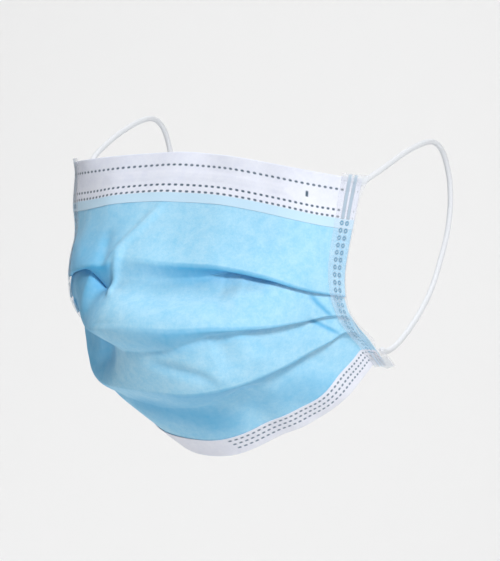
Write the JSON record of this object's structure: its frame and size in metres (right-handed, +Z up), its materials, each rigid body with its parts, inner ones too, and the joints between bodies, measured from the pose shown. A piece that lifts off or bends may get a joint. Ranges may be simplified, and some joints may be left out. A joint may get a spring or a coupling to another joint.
{
  "type": "pleated surgical face mask in worn form",
  "caption": "Light blue pleated surgical face mask in its worn, opened form, with white edge strips, clear end tapes and elastic ear loops.",
  "frame": {"origin": "middle of the upper edge of the cloth, where the mask sits on the bridge of the nose", "axes": "+Z up the face, -Y out of the front of the mask, +X towards the end of the mask on the right of its front view"},
  "size_m": [0.151, 0.1534, 0.1552],
  "materials": {
    "cloth_blue": "light blue spunbond nonwoven, matt, white on the inner face",
    "strip_white": "white spunbond strip with rows of weld dashes",
    "tape_clear": "thin translucent nonwoven tape with weld rings",
    "elastic_white": "white knitted elastic cord"
  },
  "bodies": {
    "root": {"mask_body": "cloth_blue", "top_binding": "strip_white", "bottom_binding": "strip_white", "side_binding_left": "tape_clear", "side_binding_right": "tape_clear", "ear_loop_left": "elastic_white", "ear_loop_right": "elastic_white"}
  },
  "joints": []
}
